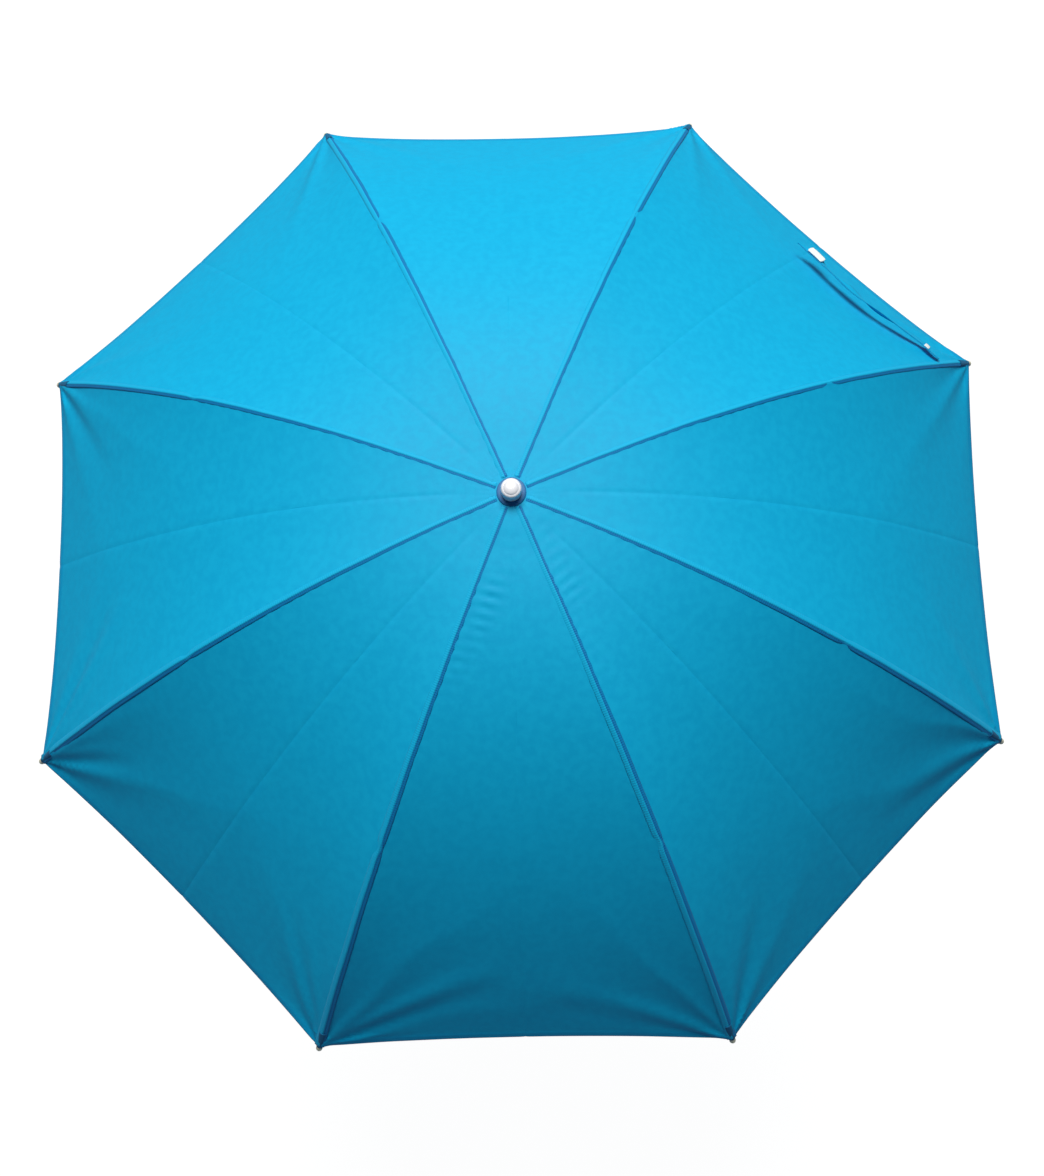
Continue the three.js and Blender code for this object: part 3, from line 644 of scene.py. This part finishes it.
def half_gore(number, hand):
    """Half a gore, from rib number out to the middle of the gore on its +1 or -1 hand."""
    gore = number if hand > 0 else (number - 2) % RIBS + 1
    bm, places, layers = grid(ROWS + HEM_ROWS, COLUMNS + LAP_COLUMNS, "along", "across", "hem", "seam")
    for vert, row, column in places:
        u = row_place(row)
        share = column_place(column)
        x = hand * (share - 1)
        hem = (1 - u) * RUN / math.cos(slope(u))
        lift = 0.45 * MM * (1 - smooth(10.5 * MM, 11.5 * MM, hem)) - 0.25 * MM * bump(hem - 10 * MM, 0.9 * MM)
        vert.co = on_gore(gore, u, x, lift)
        if column > COLUMNS:
            vert.co = lap_place(gore, u, hand, (column - COLUMNS) / LAP_COLUMNS)
        width = (PIVOT_R + RUN * u) * math.sin(STEP / 2)
        for layer, value in zip(layers, (u * RIB_ARC, share * width, hem, share * width)):
            vert[layer] = value
    if hand > 0:
        bmesh.ops.reverse_faces(bm, faces=bm.faces)
    side = "left" if hand > 0 else "right"
    name = f"gore_{number}_{side}"
    piece = show(name, mesh_from(bm, name, 60), CANOPY, f"rib_{number}",
                 (f"canopy_panel_{number}",))
    thick = piece.modifiers.new("cloth", "SOLIDIFY")
    thick.thickness = 0.4 * MM
    thick.offset = -1
    tuck(piece)


def tuck(piece):
    """Gives the piece a mesh of its own."""
    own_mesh(piece)


TIE_U = 0.62  # where each seam is tied down to its rib
WELT_START_R = 22 * MM
WELT_ROWS = 320
# across the welt, in mm: the lapped side rises to the rib's line, then a low gap runs beside it
WELT_SECTION = ((-6.4, -0.4), (-4.6, 0.13), (-2.8, 0.55), (-1.2, 0.8), (0.1, 0.85), (0.5, 0.4), (1.2, 0.25),
                (2.0, 0.25), (3.0, 0.3), (4.4, 0.1), (6.0, -0.4))
FALL_SHARE = 0.75  # how closely the welt follows the cloth's fall to either side


def seam_welt(number):
    """The sewn welt over a rib: one gore lapped on the next, with a shadowed gap beside the lap."""
    hand = 1 if number in (4, 5, 6, 7) else -1
    heavy = 0.4 if number in (5, 6, 7, 8) else 0.15
    bm, places, (along, across) = grid(WELT_ROWS, len(WELT_SECTION) - 1, "along", "across")
    angle = azimuth(number)
    sideways = Vector((-math.sin(angle), math.cos(angle), 0))
    start = (WELT_START_R - PIVOT_R) / RUN
    for vert, row, column in places:
        u = start + (0.999 - start) * row / WELT_ROWS
        offset, rise = WELT_SECTION[column]
        tied = bump(u - TIE_U, 0.012)
        swell = 0.8 + heavy * u - 0.3 * tied
        wander = 0.5 * MM * noise.noise(Vector((u * 14, number * 5.0, 0.3))) + 0.7 * MM * tied
        lift = (rise - 0.1) * MM * swell
        half_width = (PIVOT_R + RUN * u) * math.sin(STEP / 2)
        fall = math.tan(STEP / 2) * math.sin(slope(u)) + 2 * SAG * smooth(0.02, 0.7, u) / half_width
        drop = abs(offset) * MM * FALL_SHARE * fall
        shift = hand * offset * MM * swell + wander
        vert.co = on_rib(number, u, cloth_height(u) + lift - drop) + sideways * shift
        vert[along] = u * RIB_ARC
        # across also sets where the seam material paints its gap shadow, narrower where the seam is tied
        vert[across] = offset * MM * (1 - 0.75 * tied)
    if hand > 0:
        bmesh.ops.reverse_faces(bm, faces=bm.faces)
    piece = show(f"seam_{number}", mesh_from(bm, f"seam_{number}", 75), SEAM, f"rib_{number}")
    thick = piece.modifiers.new("cloth", "SOLIDIFY")
    thick.thickness = 0.5 * MM
    thick.offset = -1


POCKET_BACK = 22 * MM  # from the rib's end back to the pocket's mouth
POCKET_LENGTH = 23 * MM
POCKET_ALONG = 24 * MM  # the same along the slope


def tip_pocket(number):
    """Small sewn pocket of webbing that holds the canopy's corner on the rib's tip."""
    rows, sides = 26, 20
    bm, places, (along, across) = grid(rows, sides, "along", "across")
    angle = azimuth(number)
    sideways = Vector((-math.sin(angle), math.cos(angle), 0))
    for vert, row, column in places:
        share = row / rows
        u = 1 - POCKET_BACK / RUN + POCKET_LENGTH / RUN * share
        turn = 2 * math.pi * column / sides
        wide = (5.6 - 0.6 * share + 0.35 * math.sin(3 * turn + number)) * MM
        high = (4.9 + 0.2 * share) * MM
        centre = 1.6 * MM * (1 - share)
        vert.co = on_rib(number, u, centre + high * math.sin(turn)) + sideways * (wide * math.cos(turn))
        vert[along] = share * POCKET_ALONG
        vert[across] = turn * wide
    bmesh.ops.remove_doubles(bm, verts=bm.verts, dist=1e-6)
    bmesh.ops.recalc_face_normals(bm, faces=bm.faces)
    piece = show(f"tip_pocket_{number}", mesh_from(bm, f"tip_pocket_{number}", 60), WEBBING, f"rib_{number}")
    thick = piece.modifiers.new("cloth", "SOLIDIFY")
    thick.thickness = 0.6 * MM
    thick.offset = 0


for rib_number in range(1, RIBS + 1):
    seam_welt(rib_number)
    tip_pocket(rib_number)
    half_gore(rib_number, 1)
    half_gore(rib_number, -1)


# ---- the tie strap ----
STRAP_FROM = 0.012  # shares of the way from rib 1 to rib 2
STRAP_TO = 0.525
STRAP_WIDTH = 16 * MM
STRAP_LENGTH = 0.300
STRAP_TILT = 0.3
STRAP_U = 0.908
STRAP_GAP = 5.8 * MM  # at its root; twice this where it lies loose


def strap_place(share):
    """A point on the strap's inner edge, a share of the way from rib 1 to rib 2."""
    done = (share - STRAP_FROM) / (STRAP_TO - STRAP_FROM)
    sway = 0.008 * math.sin(2 * math.pi * (done - 0.3) / 0.95) * smooth(0, 0.2, done)
    u = STRAP_U - 0.035 * done * (2 - done) - sway
    height = cloth_height(u) + STRAP_GAP * (1 + smooth(0.05, 0.35, done))
    return on_rib(1, u, height).lerp(on_rib(2, u, height), share)


def strap_frame(share):
    """Place, and the directions along the strap, down its width and out of its upper face."""
    done = (share - STRAP_FROM) / (STRAP_TO - STRAP_FROM)
    run = (strap_place(share + 0.01) - strap_place(share - 0.01)).normalized()
    bearing = (azimuth(1) + azimuth(2)) / 2
    wound = 0.25 * math.sin(12 * done + 0.6) * smooth(0, 0.15, done) * smooth(0.85, 0.7, done)
    twist = 0.5 * smooth(0.95, 1.0, done) - 0.45 * bump(done - 0.88, 0.08) - wound
    fall = slope(STRAP_U) + STRAP_TILT + twist
    down = Vector((math.cos(fall) * math.cos(bearing), math.cos(fall) * math.sin(bearing), -math.sin(fall)))
    down = (down - run * down.dot(run)).normalized()
    return strap_place(share), run, down, down.cross(run)


def tie_strap():
    """Doubled band of the canopy's cloth, creased where it has been folded."""
    rows, columns = 180, 16
    bm, places, (along, across, hem, seam) = grid(rows, columns, "along", "across", "hem", "seam")
    for vert, row, column in places:
        done, wide = row / rows, column / columns
        place, run, down, face = strap_frame(STRAP_FROM + (STRAP_TO - STRAP_FROM) * done)
        taper = 1 - 0.75 * smooth(0.90, 1.0, done)
        wave = 1.0 * MM * math.sin(19 * done + 2.4 * wide) * smooth(0, 0.1, done)
        bow = 1.3 * MM * (1 - (2 * wide - 1) ** 2)
        vert.co = place + down * (wide * taper * STRAP_WIDTH) + face * (wave + bow)
        vert[along] = done * STRAP_LENGTH
        vert[across] = wide * STRAP_WIDTH
        # the hem value, small at both edges, makes the canopy material paint shade along the strap's edges
        vert[hem] = 9 * MM + min(wide, 1 - wide) * STRAP_WIDTH
        vert[seam] = 20 * MM
    mesh = mesh_from(bm, "strap_band", 60)
    piece = show("strap_band", mesh, CANOPY, "rib_1", ("tie_strap",))
    thick = piece.modifiers.new("cloth", "SOLIDIFY")
    thick.thickness = 1.0 * MM
    thick.offset = 0
    tuck(piece)


TAPE_WIDTH = 14.5 * MM


def strap_tape(name, node, share, length, thickness):
    """A rounded pad of tape, sewn flat on the middle of the strap's upper face."""
    place, run, down, face = strap_frame(share)
    rows, columns = 24, 12
    bm, places, _ = grid(rows, columns)
    for vert, row, column in places:
        along, wide = 2 * row / rows - 1, 2 * column / columns - 1
        corner = 1 - 0.10 * wide * wide * bump(1 - abs(along), 0.2)
        across = STRAP_WIDTH / 2 + wide * TAPE_WIDTH / 2
        height = 2.0 * MM + 0.5 * MM * (1 - along * along)
        vert.co = place + down * across + run * (along * length / 2 * corner) + face * height
    piece = show(name, mesh_from(bm, name, 60), HOOK_TAPE, "rib_1", (node,))
    thick = piece.modifiers.new("tape", "SOLIDIFY")
    thick.thickness = thickness
    thick.offset = 0
    tuck(piece)


strap_tape("strap_tape_hooks", "strap_hook_pad", 0.462, 30 * MM, 1.6 * MM)
strap_tape("strap_tape_loops", "strap_loop_pad", 0.06, 9 * MM, 1.2 * MM)
tie_strap()


# ---- frame pieces ----
RIB_EYE = 2.2 * MM  # clear of the crown's wire
RIB_STEPS = 80


def rib_rod(number):
    """Round spring-steel rib, from the crown's wire to its tip."""
    points = []
    for k in range(RIB_STEPS + 1):
        points.append(on_rib(number, (RIB_EYE + (RUN - RIB_EYE) * k / RIB_STEPS) / RUN, 0))
    mesh = rod_mesh(f"rib_rod_{number}", points, ROD_R)
    show(f"rib_rod_{number}", mesh, POWDER_COAT, f"rib_{number}", (f"rib_{number}",))


def rib_end(number):
    """Moulded cap on the rib: a socket, a collar and a rounded nose."""
    seat = ROD_R + 0.4 * MM
    bottom = -9 * MM
    collar = arc((3.6 * MM, 2 * MM), 1.1 * MM, 1.6 * MM, -80, 0, 4)
    nose = arc((0, 7.4 * MM), 4.8 * MM, 5.6 * MM, 0, 90, 10)
    outline = [(0, 0.3 * MM), (seat, 0.3 * MM), (seat, bottom), (3.2 * MM, bottom),
               (3.4 * MM, bottom + 0.3 * MM), (3.6 * MM, -1 * MM), *collar, *nose]
    bm = turned(outline, 28)
    tilt = slope(1)
    angle = azimuth(number)
    out = Vector((math.cos(tilt) * math.cos(angle), math.cos(tilt) * math.sin(angle), -math.sin(tilt)))
    turn = out.to_track_quat("Z", "Y").to_matrix().to_4x4()
    bm.transform(Matrix.Translation(on_rib(number, 1, 0)) @ turn)
    name = f"rib_end_{number}"
    show(name, mesh_from(bm, name), CREAM_NYLON, f"rib_{number}", (f"rib_tip_{number}",))


def cap():
    """Plated ferrule: a straight skirt, a rounded shoulder and a shallow crowned top, with a fine step."""
    low, seat, bore, wide = 10.3 * MM, 20.4 * MM, 9.8 * MM, 14 * MM
    shoulder = arc((10.6 * MM, 25.4 * MM), 3.4 * MM, 4.2 * MM, 0, 84, 9)
    crowned = arc((0, 28.7 * MM), 10.6 * MM, 4.3 * MM, 14, 90, 10)
    outline = [(0, seat), (bore, seat), (bore, low), (wide - 0.5 * MM, low), (wide, low + 0.5 * MM),
               (wide, 13.2 * MM), (wide - 0.35 * MM, 13.6 * MM), (wide - 0.35 * MM, 14.2 * MM),
               (wide, 14.6 * MM), *shoulder, *crowned]
    bm = turned(outline, 72)
    bm.transform(Matrix.Translation((0, 0, CROWN_Z)))
    body = frame["nodes"]["ferrule"]["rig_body"]
    show("ferrule_cap", mesh_from(bm, "ferrule_cap", 30), SILVER, body, ("ferrule",))


def washer():
    """Round dished washer that clamps the cloth under the ferrule."""
    low, high, hole, rim = 7.9 * MM, 9.9 * MM, 10.2 * MM, 20 * MM
    edge = arc((rim - 1 * MM, low + 0.9 * MM), 1 * MM, 0.9 * MM, -90, 60, 7)
    outline = [(hole, low), *edge, (rim - 4 * MM, high - 0.3 * MM), (hole + 2 * MM, high), (hole, high),
               (hole, low)]
    bm = turned(outline, 72)
    bm.transform(Matrix.Translation((0, 0, CROWN_Z)))
    body = frame["nodes"]["canopy_washer"]["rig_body"]
    show("cloth_washer", mesh_from(bm, "cloth_washer"), BLUE_ABS, body, ("canopy_washer",))


cap()
washer()
for rib_number in range(1, RIBS + 1):
    rib_rod(rib_number)
    refined(f"rib_bracket_{rib_number}", ZINC, 0.2)
    refined(f"stretcher_{rib_number}", POWDER_COAT, 0.2)
    rib_end(rib_number)

for node in ("ground_spike", "pole_clamp", "tilt_lower_socket", "tilt_upper_socket", "crown", "runner"):
    refined(node, WHITE_PP, 0.6)
for node in ("clamp_knob", "tilt_button"):
    refined(node, BLUE_ABS, 0.4)
for node in ("tilt_pin", "crown_wire", "runner_catch"):
    refined(node, ZINC, 0.15)
for node in ("lower_pole", "middle_pole", "upper_pole"):
    refined(node, POWDER_COAT, 0.2)


# ---- studio ----
SKY_FILL = (0.5, 0.76, 1.0, 1)
WHITE = (1.0, 1.0, 1.0, 1)
BACKDROP = (0.95, 0.97, 1.0, 1)
FLOOR_GREY = (0.12, 0.12, 0.12, 1)
FLOOR_RADIUS = 30
KEY_PLACE = (-0.2, 4.3, TIP_Z + 7.1)
KEY_COLOUR = (1.0, 1.0, 0.89)
POLE_MIDDLE = (0, 0, 0.62)
FILL_DISTANCE = 1.1


def soft_light(name, place, aim, size, watts):
    """A round lamp that the camera doesn't see."""
    data = bpy.data.lights.new(name, "AREA")
    data.shape = "DISK"
    data.size = size
    data.energy = watts
    light = bpy.data.objects.new(name, data)
    bpy.context.scene.collection.objects.link(light)
    light.visible_camera = False
    ray = Vector(aim) - Vector(place)
    light.matrix_world = Matrix.Translation(place) @ ray.to_track_quat("-Z", "Y").to_matrix().to_4x4()
    return data


def floor():
    """A floor that looks white, and throws a dimmer, bluer light on the umbrella."""
    bm = bmesh.new()
    bmesh.ops.create_circle(bm, cap_ends=True, segments=96, radius=FLOOR_RADIUS)
    mesh = bpy.data.meshes.new("floor")
    bm.to_mesh(mesh)
    bm.free()
    ground = bpy.data.objects.new("floor", mesh)
    bpy.context.scene.collection.objects.link(ground)
    material, tree, shader = new_material("pale_studio_floor")
    shader.inputs["Base Color"].default_value = FLOOR_GREY
    shader.inputs["Roughness"].default_value = 0.9
    shader.inputs["Specular IOR Level"].default_value = 0.0
    seen = add(tree, "ShaderNodeLightPath").outputs["Is Camera Ray"]
    colour = add(tree, "ShaderNodeMix", COLOUR_MIX,
                 {FACTOR: seen, COLOUR_A: SKY_FILL, COLOUR_B: WHITE}).outputs[MIXED]
    tree.links.new(colour, shader.inputs["Emission Color"])
    glow = add(tree, "ShaderNodeMapRange", None,
               {"Value": seen, "To Min": 0.28, "To Max": 0.97}).outputs["Result"]
    tree.links.new(glow, shader.inputs["Emission Strength"])
    mesh.materials.append(material)


def sky():
    """A white backdrop that throws a dimmer, bluer light on the umbrella."""
    world = bpy.data.worlds.new("studio")
    bpy.context.scene.world = world
    world.use_nodes = True
    tree = world.node_tree
    background = tree.nodes["Background"]
    seen = add(tree, "ShaderNodeLightPath").outputs["Is Camera Ray"]
    colour = add(tree, "ShaderNodeMix", COLOUR_MIX,
                 {FACTOR: seen, COLOUR_A: SKY_FILL, COLOUR_B: BACKDROP}).outputs[MIXED]
    tree.links.new(colour, background.inputs["Color"])
    level = add(tree, "ShaderNodeMapRange", None,
                {"Value": seen, "To Min": 0.13, "To Max": 1.0}).outputs["Result"]
    tree.links.new(level, background.inputs["Strength"])


def studio():
    """A large key light high behind the canopy, and three small fills around the pole."""
    view = bpy.context.scene.view_settings
    view.view_transform = "Standard"
    view.look = "None"
    floor()
    sky()
    key = soft_light("key", KEY_PLACE, (0, 0, TIP_Z), 5.0, 880.0)
    key.color = KEY_COLOUR
    for turn in (-100, 20, 140):
        bearing = math.radians(turn)
        low = (FILL_DISTANCE * math.cos(bearing), FILL_DISTANCE * math.sin(bearing), 0.10)
        lamp = soft_light(f"pole_fill_{turn}", low, POLE_MIDDLE, 0.4, 1.3)
        lamp.spread = math.radians(62)


studio()
